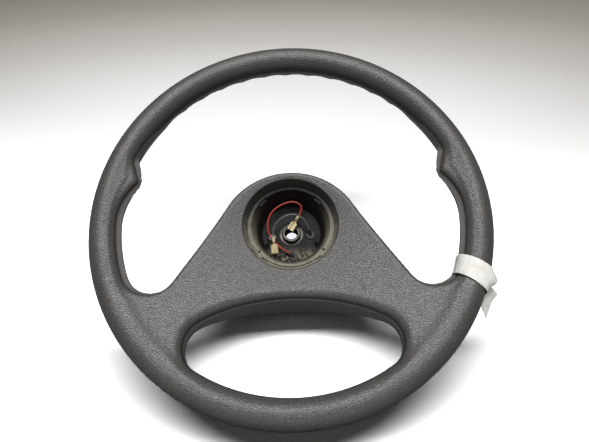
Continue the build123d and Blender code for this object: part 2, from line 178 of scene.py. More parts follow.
def step_to_circle(start, direction, radius):
    """Distance from a point, along a direction, to a circle about the centre of the wheel."""
    half_b = float(np.dot(start, direction))
    return -half_b + math.sqrt(half_b**2 - float(np.dot(start, start)) + radius**2)


def tangent_arc(start, direction, end, count=ARC_POINTS):
    """Points of the arc that leaves a point along a direction and ends at another point."""
    chord = end - start
    side = np.array([-direction[1], direction[0]])
    radius = float(np.dot(chord, chord)) / (2 * float(np.dot(chord, side)))
    middle = start + side * radius
    first = angle_of(start - middle)
    turn = (angle_of(end - middle) - first + 180) % 360 - 180
    return arc(middle, abs(radius), first, first + turn, count)


def rounded(before, corner, after, radius, count=10):
    """Points of a fillet between two straight runs that meet at a corner."""
    a = (before - corner) / np.linalg.norm(before - corner)
    b = (after - corner) / np.linalg.norm(after - corner)
    half = math.acos(float(np.clip(np.dot(a, b), -1, 1))) / 2
    reach = radius / math.tan(half)
    axis = (a + b) / np.linalg.norm(a + b)
    middle = corner + axis * radius / math.sin(half)
    start = corner + a * reach - middle
    end = corner + b * reach - middle
    points = []
    for t in np.linspace(0, 1, count):
        v = start * (1 - t) + end * t
        points.append(middle + v / np.linalg.norm(v) * radius)
    return points


def panel_half():
    """Right half of the panel's outline in the front view, from the hub top round to the bottom."""
    lean = 90.0 - DIAGONAL_DEG
    dome_r = HUB_TOP + DOME_DROP
    dome_mid = np.array([0.0, -DOME_DROP])
    base = dome_mid + unit(lean) * (dome_r + CORNER_R)
    along = unit(lean - 90)
    corner = base + along * step_to_circle(base, along, SIDE_R - CORNER_R)
    corner_deg = angle_of(corner)
    points = arc(dome_mid, dome_r, 90, lean, ARC_POINTS)
    points += arc(corner, CORNER_R, lean + 180, corner_deg + 360, ARC_POINTS)
    points += arc((0, 0), SIDE_R, corner_deg, SIDE_END_DEG, SIDE_POINTS)[1:]
    thumb = np.array([math.sqrt((RIM_INNER_R - THUMB_LEDGE) ** 2 - THUMB_Y**2), THUMB_Y])
    top = np.array([math.sqrt(RIM_INNER_R**2 - THUMB_TOP_Y**2), THUMB_TOP_Y])
    run = tangent_arc(points[-1], unit(SIDE_END_DEG + 90), thumb)
    tip = rounded(run[-2], thumb, top, THUMB_TIP_R)
    points += [p for p in run[1:-1] if p[1] < tip[0][1]]
    points += tip
    points += rounded(thumb, top, unit(THUMB_END_DEG) * RIM_MID_R, THUMB_TIP_R)
    points += arc((0, 0), RIM_MID_R, THUMB_END_DEG, -90, RIM_POINTS)
    return np.array(points)


def lower_half():
    """Right half of the lower opening's outline at the height of the rim's middle."""
    across = LOWER_HALF - LOWER_CORNER_R
    corner = np.array([across, -math.sqrt((LOWER_REACH - LOWER_CORNER_R) ** 2 - across**2)])
    down = corner[1] - LOWER_TOP
    top_r = (across**2 + down**2 - LOWER_CORNER_R**2) / (2 * (-down - LOWER_CORNER_R))
    top_mid = np.array([0.0, LOWER_TOP - top_r])
    meet_deg = angle_of(corner - top_mid)
    low_deg = angle_of(corner)
    points = arc(top_mid, top_r, 90, meet_deg, ARC_POINTS)
    points += arc(corner, LOWER_CORNER_R, meet_deg, low_deg, ARC_POINTS)[1:]
    foot_deg = low_deg - LOWER_RUN_OUT_DEG
    points += tangent_arc(points[-1], unit(low_deg - 90), unit(foot_deg) * RIM_OUTER_R)[1:]
    points += arc((0, 0), RIM_OUTER_R, foot_deg, -90, FOOT_POINTS)[1:]
    return np.array(points)


def cubic_weights(t):
    """Weights of the four grid values around a point."""
    return (
        -0.5 * t**3 + t**2 - 0.5 * t,
        1.5 * t**3 - 2.5 * t**2 + 1.0,
        -1.5 * t**3 + 2.0 * t**2 + 0.5 * t,
        0.5 * t**3 - 0.5 * t**2,
    )


class FlatField:
    """Signed distance to an outline mirrored about Y, kept on a grid and read with cubic weights."""

    def __init__(self, outline, low_y, high_y, high_x, step=0.5, margin=6):
        self.step = step
        self.low = np.array([-margin * step, low_y])
        xs = np.arange(self.low[0], high_x, step)
        ys = np.arange(low_y, high_y, step)
        gx, gy = np.meshgrid(np.abs(xs), ys, indexing="ij")
        best = np.full(gx.shape, np.inf)
        inside = np.zeros(gx.shape, bool)
        for a, b in zip(outline[:-1], outline[1:]):
            edge = b - a
            if abs(edge[1]) > TINY:
                crosses = (a[1] > gy) != (b[1] > gy)
                inside ^= crosses & (gx < a[0] + (gy - a[1]) * edge[0] / edge[1])
            length = float(np.dot(edge, edge)) + TINY
            t = np.clip(((gx - a[0]) * edge[0] + (gy - a[1]) * edge[1]) / length, 0, 1)
            away = (gx - a[0] - t * edge[0]) ** 2 + (gy - a[1] - t * edge[1]) ** 2
            best = np.minimum(best, away)
        self.grid = np.where(inside, -np.sqrt(best), np.sqrt(best))

    def __call__(self, x, y):
        """Distance at points; those off the grid take the value at its border."""
        most_u, most_v = (size - FIELD_BORDER for size in self.grid.shape)
        u = np.clip((np.abs(x) - self.low[0]) / self.step, 1, most_u)
        v = np.clip((y - self.low[1]) / self.step, 1, most_v)
        iu = u.astype(int)
        iv = v.astype(int)
        weights_u = cubic_weights(u - iu)
        weights_v = cubic_weights(v - iv)
        total = 0.0
        for i in range(4):
            row = 0.0
            for j in range(4):
                row = row + self.grid[iu + i - 1, iv + j - 1] * weights_v[j]
            total = total + row * weights_u[i]
        return total


panel_field = FlatField(panel_half(), -FIELD_REACH, FIELD_REACH, FIELD_REACH)
lower_field = FlatField(lower_half(), LOWER_FIELD_LOW, LOWER_FIELD_HIGH, FIELD_REACH)


def smooth(t):
    """Eased step from 0 to 1."""
    t = np.clip(t, 0, 1)
    return t * t * (3 - 2 * t)


def round_max(a, b, radius):
    """Intersection of two distance fields with a rounded edge."""
    u = np.maximum(a + radius, 0)
    v = np.maximum(b + radius, 0)
    return np.minimum(np.maximum(a, b), -radius) + np.hypot(u, v)


def soft_min(a, b, reach):
    """Union of two distance fields with a filled crease."""
    h = np.maximum(reach - np.abs(a - b), 0) / reach
    return np.minimum(a, b) - h**3 * reach / 6


def hermite(r, r0, z0, m0, r1, z1, m1):
    """Height and slope of a cubic between two radii."""
    h = r1 - r0
    t = (r - r0) / h
    z = (2 * t**3 - 3 * t**2 + 1) * z0 + (t**3 - 2 * t**2 + t) * h * m0
    z = z + (-2 * t**3 + 3 * t**2) * z1 + (t**3 - t**2) * h * m1
    slope = (6 * t**2 - 6 * t) * (z0 - z1) / h + (3 * t**2 - 4 * t + 1) * m0 + (3 * t**2 - 2 * t) * m1
    return z, slope


def beside(x, y, r):
    """How far a point lies in the zone of the panel's side edges and thumb rests, from 0 to 1."""
    degrees = np.degrees(np.arctan2(y, np.abs(x)))
    low = smooth((degrees - SIDE_LOW_DEG) / SIDE_LOW_RUN)
    high = smooth((SIDE_HIGH_DEG - degrees) / SIDE_HIGH_RUN)
    return low * high * smooth((r - SIDE_ZONE_R) / SIDE_ZONE_RUN)


def back_field(x, y, r, z):
    """Distance in front of the panel's back surface, negative inside."""
    near = hermite(np.clip(r, BELL_R, SPOKE_BACK_R), BELL_R, BELL_Z, BELL_SLOPE,
                   SPOKE_BACK_R, SPOKE_BACK_Z, SPOKE_BACK_SLOPE)
    far = hermite(np.clip(r, SPOKE_BACK_R, RIM_OUTER_R), SPOKE_BACK_R, SPOKE_BACK_Z, SPOKE_BACK_SLOPE,
                  RIM_OUTER_R, RIM_BACK_Z, RIM_BACK_SLOPE)
    height = np.where(r < SPOKE_BACK_R, near[0], far[0])
    slope = np.where(r < BELL_R, 0.0, np.where(r < SPOKE_BACK_R, near[1], far[1]))
    height = height + np.maximum(SIDE_BACK_Z - height, 0) * beside(x, y, r)
    return (height - z) / np.sqrt(1 + slope**2)


def front_field(r, z):
    """Distance in front of the panel's front cone, negative inside."""
    return (z - MOUTH_Z - (r - MOUTH_R) * FRONT_SLOPE) / math.hypot(1, FRONT_SLOPE)


def cut_field(x, y, z):
    """Distance into the lower opening, negative in the panel."""
    return -lower_field(x, y - (z - RIM_Z) * LOWER_LEAN) * math.cos(math.atan(LOWER_LEAN))


def rim_field(x, y, z):
    """Distance to the rim with its finger grooves."""
    r = np.hypot(x, y)
    p = (r - RIM_MID_R) / RIM_HALF
    height = np.where(z > RIM_Z, RIM_FRONT_H, RIM_REAR_H)
    q = (z - RIM_Z) / height
    k0 = np.hypot(p, q) + TINY
    k1 = np.hypot(p / RIM_HALF, q / height) + TINY
    body = k0 * (k0 - 1) / k1

    # The nearest groove leaves a waist about a middle that is moved to the front and outside, so that it
    # is deepest on the inner side at the back
    degrees = np.degrees(np.arctan2(y, x))
    span = (GRIP_COUNT - 1) / 2
    number = np.clip(np.round((degrees - 90) / GRIP_PITCH_DEG + span) - span, -span, span)
    turn = np.radians(90 + number * GRIP_PITCH_DEG)
    out = x * np.cos(turn) + y * np.sin(turn)
    side = y * np.cos(turn) - x * np.sin(turn)
    waist_r = (RIM_FRONT_H + RIM_REAR_H) / 2
    shift = (GRIP_DEPTH + waist_r - (RIM_HALF + waist_r) / 2) * math.sqrt(0.5)
    away = np.hypot(out - RIM_MID_R - shift, z - RIM_Z - shift)
    groove = GRIP_SWEEP_R - np.hypot(away - waist_r - GRIP_SWEEP_R, side)
    return -soft_min(-body, -np.where(out > 0, groove, -RIM_OUTER_R), GROOVE_BLEND)


def hollow_field(x, y, r, z):
    """Distance to the open hub: mouth, seat of the liner and pocket behind, negative inside."""
    mouth_lean = (MOUTH_R - LEDGE_R) / (MOUTH_Z - LEDGE_Z)
    mouth = (r - LEDGE_R - (z - LEDGE_Z) * mouth_lean) / math.hypot(1, mouth_lean)
    seat_lean = (LINER_LIP_R - LINER_FOOT_R) / (LEDGE_Z - PLATE_FRONT)
    seat = (r - LINER_FOOT_R - (z - PLATE_FRONT) * seat_lean) / math.hypot(1, seat_lean)
    mouth = np.maximum(mouth, LEDGE_Z - z)
    seat = np.maximum(seat, z - LEDGE_Z - SEAT_REACH)
    seat = np.maximum(seat, PLATE_Z - SEAT_DEPTH - z)
    pocket = np.maximum(r - POCKET_R, z - PLATE_Z)
    hollow = np.minimum(np.minimum(mouth, seat), pocket)
    notch_x, notch_y = NOTCH_R * unit(NOTCH_DEG)
    notch = np.sqrt((np.abs(x) - notch_x) ** 2 + (y - notch_y) ** 2 + (z - LEDGE_Z) ** 2) - NOTCH_HALF
    return np.minimum(hollow, notch)


def foam_field(x, y, z):
    """Distance to the moulding."""
    r = np.hypot(x, y)
    front = front_field(r, z)
    back = back_field(x, y, r, z)
    flat = panel_field(x, y) - PARTING_STEP * smooth(-front - UPPER_PARTING)
    flat = flat + SIDE_STEP * beside(x, y, r) * (1 - smooth((-front - SIDE_PARTING) / SIDE_RUN))
    cut = cut_field(x, y, z) - PARTING_STEP * smooth(-front - LOWER_PARTING)
    upper = round_max(round_max(flat, front, UPPER_FRONT_ROUND), back, UPPER_REAR_ROUND)
    lower = round_max(round_max(cut, front, LOWER_FRONT_ROUND), back, LOWER_REAR_ROUND)
    reach = EDGE_BLEND + (PANEL_BLEND - EDGE_BLEND) * smooth(-np.maximum(flat, cut) / PANEL_BLEND)
    body = soft_min(np.maximum(upper, lower), rim_field(x, y, z), reach)
    return round_max(body, -hollow_field(x, y, r, z), MOUTH_ROUND)


def surface_nets(field, radii, count, heights):
    """Quad mesh of a field's zero level on a ring-shaped grid, a vertex in each cell that it crosses."""
    turns = 2 * math.pi * np.arange(count + 1) / count
    r, a, z = np.meshgrid(radii, turns[:-1], heights, indexing="ij")
    values = field(r * np.cos(a), r * np.sin(a), z)
    values = np.concatenate([values, values[:, :1]], axis=1)
    inside = values < 0
    shape = [n - 1 for n in values.shape]
    corner = [(i, j, k) for i in (0, 1) for j in (0, 1) for k in (0, 1)]
    filled = np.zeros(shape, np.int8)
    for i, j, k in corner:
        filled += inside[i:i + shape[0], j:j + shape[1], k:k + shape[2]]
    cells = np.argwhere((filled > 0) & (filled < len(corner)))
    index = np.full(shape, -1)
    index[tuple(cells.T)] = np.arange(len(cells))
    axes = (radii, turns, heights)
    total = np.zeros((len(cells), 3))
    hits = np.zeros(len(cells))
    for a in corner:
        for axis in range(3):
            if a[axis]:
                continue
            b = list(a)
            b[axis] = 1
            ends = [(cells + a).T, (cells + b).T]
            va = values[tuple(ends[0])]
            vb = values[tuple(ends[1])]
            cross = (va < 0) != (vb < 0)
            t = np.where(cross, va / np.where(cross, va - vb, 1), 0)
            for i in range(3):
                spot = axes[i][ends[0][i]] * (1 - t) + axes[i][ends[1][i]] * t
                total[:, i] += np.where(cross, spot, 0)
            hits += cross
    total /= hits[:, None]
    r, a, z = total.T
    verts = np.stack([r * np.cos(a), r * np.sin(a), z], axis=1)

    # Both ends of the grid's edges along each axis, the shift to their cell, and the four cells round each
    edges = [
        (inside[:-1, :-1, 1:-1], inside[1:, :-1, 1:-1], (0, 0, 1),
         ((0, -1, -1), (0, 0, -1), (0, 0, 0), (0, -1, 0))),
        (inside[1:-1, :-1, 1:-1], inside[1:-1, 1:, 1:-1], (1, 0, 1),
         ((-1, 0, -1), (-1, 0, 0), (0, 0, 0), (0, 0, -1))),
        (inside[1:-1, :-1, :-1], inside[1:-1, :-1, 1:], (1, 0, 0),
         ((-1, -1, 0), (0, -1, 0), (0, 0, 0), (-1, 0, 0))),
    ]
    quads = []
    for near, far, start, around in edges:
        found = np.argwhere(near != far)
        outward = near[tuple(found.T)]
        quad = np.stack([index[tuple((found + start + shift).T)] for shift in around], axis=1)
        quad[~outward] = quad[~outward][:, ::-1]
        quads.append(quad)
    return verts, np.vstack(quads)


def gradient(field, points, step=0.05):
    """Slope of a field at points, by differences."""
    slopes = []
    for axis in range(3):
        shift = np.zeros(3)
        shift[axis] = step
        slopes.append((field(*(points + shift).T) - field(*(points - shift).T)) / (2 * step))
    return np.stack(slopes, axis=1)


def settle(field, verts, quads, rounds=4, pulls=2, ease=0.5, least_slope=0.2, most_move=1.5):
    """Evens out a mesh and draws it onto the field's zero level."""
    ends = np.vstack([quads[:, [0, 1]], quads[:, [1, 2]], quads[:, [2, 3]], quads[:, [3, 0]]])
    degree = np.bincount(ends.ravel(), minlength=len(verts))
    for number in range(rounds):
        if number < rounds - 1:
            mean = np.zeros_like(verts)
            for axis in range(3):
                mean[:, axis] += np.bincount(ends[:, 0], verts[ends[:, 1], axis], len(verts))
                mean[:, axis] += np.bincount(ends[:, 1], verts[ends[:, 0], axis], len(verts))
            verts = verts + ease * (mean / degree[:, None] - verts)
        for _ in range(pulls):
            slope = gradient(field, verts)
            size = np.maximum((slope**2).sum(axis=1), least_slope)
            move = (field(*verts.T) / size)[:, None] * slope
            verts = verts - np.clip(move, -most_move, most_move)
    return verts


def mesh_object(name, verts, faces):
    """Smooth object from points in millimetres and faces."""
    mesh = bpy.data.meshes.new(name)
    mesh.from_pydata((np.asarray(verts) * MM).tolist(), [], np.asarray(faces).tolist())
    mesh.polygons.foreach_set("use_smooth", [True] * len(mesh.polygons))
    obj = bpy.data.objects.new(name, mesh)
    scene.collection.objects.link(obj)
    return obj


def steps(stops):
    """Grid values along stretches, each with its own spacing."""
    rows = []
    for low, high, step in stops:
        count = max(2, round((high - low) / (step * COARSE)))
        rows.append(np.linspace(low, high, count + 1)[:-1])
    return np.concatenate([*rows, [stops[-1][1]]])


def parting(verts):
    """Two values for each point: how far it lies behind the parting line, in millimetres, and how far
    it lies in the painted shade along the edge in front of that line, from 0 to 1."""
    x, y, z = verts.T
    r = np.hypot(x, y)
    at_side = beside(x, y, r)
    in_rim = smooth((r - RIM_ZONE_R - RIM_ZONE_SHIFT * at_side) / RIM_ZONE_RUN)
    edge = np.where(cut_field(x, y, z) > -CUT_EDGE, LOWER_PARTING, UPPER_PARTING)
    edge = edge * (1 - at_side) + SIDE_PARTING * at_side
    depth = -front_field(r, z)
    behind = (depth - edge) * (1 - in_rim) + (RIM_PARTING_Z - z) * in_rim
    panel_shade = smooth((depth / edge - SHADE_START) / SHADE_RUN)
    rim_shade = smooth((RIM_PARTING_Z + RIM_SHADE_H - z) / RIM_SHADE_RUN)
    return behind, panel_shade * (1 - in_rim) + rim_shade * in_rim


# Foam moulding
angles = round(GRID_ANGLES / COARSE)
foam_verts, foam_quads = surface_nets(foam_field, steps(GRID_RADII), angles, steps(GRID_HEIGHTS))
foam_verts = settle(foam_field, foam_verts, foam_quads)
foam = mesh_object("foam", foam_verts, foam_quads)
# The "edge" attribute holds the painted shade in front of the parting line
for name, values in zip(("part", "edge"), parting(foam_verts)):
    foam.data.attributes.new(name, "FLOAT", "POINT").data.foreach_set("value", values)
foam.data.set_sharp_from_angle(angle=math.radians(SHARP_DEG))
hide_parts("foam_moulding")
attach(foam, "root")

# Paper tape round the rim: a loop drawn tight over the foam, loose on the outer side, and its torn tail
TAPE_DEG = -21.6
TAPE_HALF = 10.0
TAPE_GAP = 0.3
TAPE_T = 0.35
TAPE_LOOSE = 6.0
TAPE_SKEW = 0.075
TAPE_ROWS = 120
TAPE_COLUMNS = 21
LOOSE_AT = 0.03
LOOSE_LENGTH = 0.085
LOOSE_SIDE = 0.25
LOOSE_WIDTH = 0.55
RIPPLE_SEED = 5
RIPPLE_COUNT = 6
RIPPLE_H = 0.03
RIPPLE_LIFT = 4.0
TAIL_ROWS = 15
TAIL_COLUMNS = 13
TAIL_CURL = 2.2
TAIL_DROP = 1.2
TAPE_ROUTE = [
    (13.6, 0.0), (12.6, 7.0), (8.5, 12.0), (0.0, 14.6), (-8.0, 13.4), (-14.0, 9.6), (-17.0, 4.0),
    (-17.0, -4.0), (-14.5, -10.5), (-8.5, -16.0), (0.0, -18.5), (8.5, -15.0), (12.6, -8.0),
]
TAIL_ROOTS = [(176.2, -72.6, 71.0), (168.6, -90.6, 68.0)]
TAIL_END = [(185.7, -81.8, 68.0), (180.9, -87.3, 66.0), (174.4, -101.8, 62.0)]


def closed_curve(points, count):
    """Smooth closed line through points."""
    points = np.asarray(points, float)
    t = np.arange(count) / count * len(points)
    i = t.astype(int)
    weights = cubic_weights(t - i)
    line = 0.0
    for k in range(4):
        line = line + points[(i + k - 1) % len(points)] * weights[k][:, None]
    return line


def clear_of_foam(points, gap, rounds=6):
    """Moves points outwards until they clear the foam by a gap."""
    for _ in range(rounds):
        short = np.maximum(gap - foam_field(*points.T), 0)
        points = points + short[:, None] * gradient(foam_field, points)
    return points


def ripples(s, w):
    """Small creases of the paper, in millimetres, by the place round the rim and across the tape."""
    random = np.random.default_rng(RIPPLE_SEED)
    height = 0.0
    for number, (first, second) in enumerate(random.uniform(0, 2 * math.pi, (RIPPLE_COUNT, 2))):
        long_wave = 2 * math.pi * s * (3 + 4 * number) + first + w * (number - 2)
        short_wave = 2 * math.pi * s * (5 + 7 * number) + second - 1.4 * w * number
        height = height + np.sin(long_wave) + 0.5 * np.sin(short_wave)
    return RIPPLE_H * (height + RIPPLE_LIFT)


def tape_loop():
    """Grid of points of the loop round the rim, pushed out where the paper is loose."""
    widths = np.linspace(-1, 1, TAPE_COLUMNS)
    half_deg = math.degrees(TAPE_HALF / RIM_MID_R)
    verts = []
    for p, q in closed_curve(TAPE_ROUTE, TAPE_ROWS):
        for w in widths:
            spot = unit(TAPE_DEG + half_deg * w - TAPE_SKEW * p) * (RIM_MID_R + p)
            verts.append((*spot, RIM_Z + q))
    verts = clear_of_foam(np.array(verts), TAPE_GAP).reshape(TAPE_ROWS, TAPE_COLUMNS, 3)
    s = (np.arange(TAPE_ROWS) / TAPE_ROWS)[:, None]
    w = widths[None, :]
    loose = np.exp(-((((s + 0.5) % 1 - 0.5 - LOOSE_AT) / LOOSE_LENGTH) ** 2))
    loose = loose * np.exp(-(((w - LOOSE_SIDE) / LOOSE_WIDTH) ** 2))
    out = verts * (1, 1, 0)
    out /= np.linalg.norm(out, axis=-1, keepdims=True)
    away = verts - (*(RIM_MID_R * unit(TAPE_DEG)), RIM_Z)
    away /= np.linalg.norm(away, axis=-1, keepdims=True)
    return verts + out * (TAPE_LOOSE * loose)[..., None] + away * ripples(s, w)[..., None]


def tape_tail():
    """Grid of points of the torn tail, from its root on the rim to its pointed end."""
    roots = np.array(TAIL_ROOTS)
    ends = np.array(TAIL_END)
    verts = []
    for t in np.linspace(0, 1, TAIL_ROWS):
        for side in np.linspace(0, 1, TAIL_COLUMNS):
            root = roots[0] * (1 - side) + roots[1] * side
            leg = min(int(side * 2), 1)
            share = side * 2 - leg
            end = ends[leg] * (1 - share) + ends[leg + 1] * share
            curl = TAIL_CURL * math.sin(math.pi * t) * (0.6 + 0.4 * math.cos(3 * side))
            verts.append(root * (1 - t) + end * t + (0, 0, curl - TAIL_DROP * t * side))
    return np.array(verts)


def grid_faces(rows, columns, first, closed, flip):
    """Quads of a grid of points that starts at a given point."""
    faces = []
    for i in range(rows if closed else rows - 1):
        n = (i + 1) % rows
        for j in range(columns - 1):
            quad = [(i, j), (i, j + 1), (n, j + 1), (n, j)]
            if flip:
                quad = [quad[0], *quad[:0:-1]]
            faces.append([first + a * columns + b for a, b in quad])
    return faces


def tape_piece():
    """Loop and tail as one sheet of paper with a thickness."""
    loop = tape_loop().reshape(-1, 3)
    faces = grid_faces(TAPE_ROWS, TAPE_COLUMNS, 0, True, False)
    faces += grid_faces(TAIL_ROWS, TAIL_COLUMNS, len(loop), False, True)
    obj = mesh_object("tape", np.vstack([loop, tape_tail()]), faces)
    skin = obj.modifiers.new("paper", "SOLIDIFY")
    skin.thickness = TAPE_T * MM
    skin.offset = 1.0
    return obj


tape = tape_piece()
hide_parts("paper_tape")
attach(tape, "root")


# Materials: places and fades in metres
MOUTH_EDGE = 0.0478
LIP_Z = 0.05
LIP_HALF = 0.0004
LIP_FADE = (-0.03, -0.01)
DUST_FADE = (0.028, -0.02)
SMUDGE_AT = (0.0664, -0.0707)
SMUDGE_HALF = (0.0024, 0.0048)
GRAIN_STRETCH = (0.5, 1.0, 0.8)
GRAIN_WARP = (0.0011, 0.0011, 0.0011)
FIBRE_STRETCH = (1, 1, 3)
CUP_Z = 0.0135
CRUMB_FADE_Y = (-0.013, -0.026)
CRUMB_FADE_Z = (0.03, 0.019)
FILM_FADE_Y = (0.03, -0.02)
FILM_FADE_Z = (0.024, 0.0395)

# Materials: colours, and tones with their places on a ramp
FOAM_TONES = ((0.32, (0.086, 0.082, 0.077, 1)), (0.7, (0.106, 0.1, 0.093, 1)))
# Painted shade in the low creases of the grain
CREASE_SHADE_COLOUR = (0.05, 0.048, 0.046, 1)
# Painted shade along the edge in front of the parting line
EDGE_SHADE_COLOUR = (0.024, 0.023, 0.022, 1)
# Painted light from the table on the smooth skin behind the parting line
REAR_PAINTED_LIGHT = (0.19, 0.177, 0.167, 1)
SMUDGE_COLOUR = (0.02, 0.019, 0.018, 1)
WALL_COLOUR = (0.05, 0.049, 0.045, 1)
DUST_COLOUR = (0.29, 0.265, 0.205, 1)
LIP_COLOUR = (0.02, 0.02, 0.02, 1)
CUP_TONES = ((0.3, (0.008, 0.008, 0.008, 1)), (0.7, (0.02, 0.0195, 0.018, 1)))
CRUMB_COLOUR = (0.22, 0.2, 0.145, 1)
FILM_COLOUR = (0.3, 0.275, 0.215, 1)
# Paper tones: the darker one is painted shade in the low parts of the creases
PAPER_TONES_WITH_CREASE_SHADE = ((0.3, (0.74, 0.72, 0.66, 1)), (0.55, (0.86, 0.85, 0.8, 1)))


def material(name):
    """New node material with its tree and shader."""
    mat = bpy.data.materials.new(name)
    mat.use_nodes = True
    tree = mat.node_tree
    return mat, tree, tree.nodes["Principled BSDF"]


def node(tree, kind, **values):
    """Adds a node and sets its properties and inputs by name."""
    new = tree.nodes.new(kind)
    for key, value in values.items():
        if hasattr(new, key):
            setattr(new, key, value)
        else:
            new.inputs[key.replace("_", " ").title()].default_value = value
    return new


def math_node(tree, operation, *values):
    """Maths on sockets and numbers."""
    new = tree.nodes.new("ShaderNodeMath")
    new.operation = operation
    for place, value in zip(new.inputs, values):
        if isinstance(value, (int, float)):
            place.default_value = value
        else:
            tree.links.new(value, place)
    return new.outputs[0]


def product(tree, first, *others):
    """Product of sockets and numbers."""
    for other in others:
        first = math_node(tree, "MULTIPLY", first, other)
    return first


def remainder(tree, share):
    """What a share leaves of one."""
    return math_node(tree, "SUBTRACT", 1.0, share)


def eased(tree, value, low, high):
    """Eased step of a socket between two values."""
    new = node(tree, "ShaderNodeMapRange", interpolation_type="SMOOTHSTEP")
    new.inputs["From Min"].default_value = low
    new.inputs["From Max"].default_value = high
    tree.links.new(value, new.inputs["Value"])
    return new.outputs[0]


def ramp(tree, source, stops):
    """Colour ramp after a source socket."""
    new = tree.nodes.new("ShaderNodeValToRGB")
    new.color_ramp.elements[0].position = stops[0][0]
    new.color_ramp.elements[0].color = stops[0][1]
    new.color_ramp.elements[1].position = stops[-1][0]
    new.color_ramp.elements[1].color = stops[-1][1]
    for position, colour in stops[1:-1]:
        new.color_ramp.elements.new(position).color = colour
    tree.links.new(source, new.inputs[0])
    return new.outputs[0]


def mixed(tree, factor, first, second, blend="MIX"):
    """Mix of two colours by a factor socket or number."""
    new = node(tree, "ShaderNodeMix", data_type="RGBA", blend_type=blend)
    for key, value in (("Factor", factor), ("A", first), ("B", second)):
        sockets = [socket for socket in new.inputs if socket.name == key and socket.enabled]
        if isinstance(value, (int, float, tuple)):
            sockets[0].default_value = value
        else:
            tree.links.new(value, sockets[0])
    return [socket for socket in new.outputs if socket.enabled][0]


def tinted(tree, colour, share, strength, tint):
    """Colour drawn towards a tint by a share socket and a strength."""
    return mixed(tree, product(tree, share, strength), colour, tint)


def grey(value):
    """Neutral colour."""
    return (value, value, value, 1.0)


def places(tree, scale=(1.0, 1.0, 1.0)):
    """Object coordinates, stretched by a scale."""
    coordinates = tree.nodes.new("ShaderNodeTexCoord").outputs["Object"]
    stretch = node(tree, "ShaderNodeMapping")
    stretch.inputs["Scale"].default_value = scale
    tree.links.new(coordinates, stretch.inputs["Vector"])
    return stretch.outputs[0]


def axes_of(tree, vector):
    """X, Y and Z of a vector socket."""
    split = tree.nodes.new("ShaderNodeSeparateXYZ")
    tree.links.new(vector, split.inputs[0])
    return split.outputs


def textured(tree, kind, vector, output=0, **values):
    """Texture node on a vector, with one of its outputs."""
    new = node(tree, kind, **values)
    tree.links.new(vector, new.inputs["Vector"])
    return new.outputs[output]


def bumped(tree, shader, height, strength, distance):
    """Bump on a shader from a height socket."""
    bump = node(tree, "ShaderNodeBump", Strength=strength, Distance=distance)
    tree.links.new(height, bump.inputs["Height"])
    tree.links.new(bump.outputs[0], shader.inputs["Normal"])
    return bump


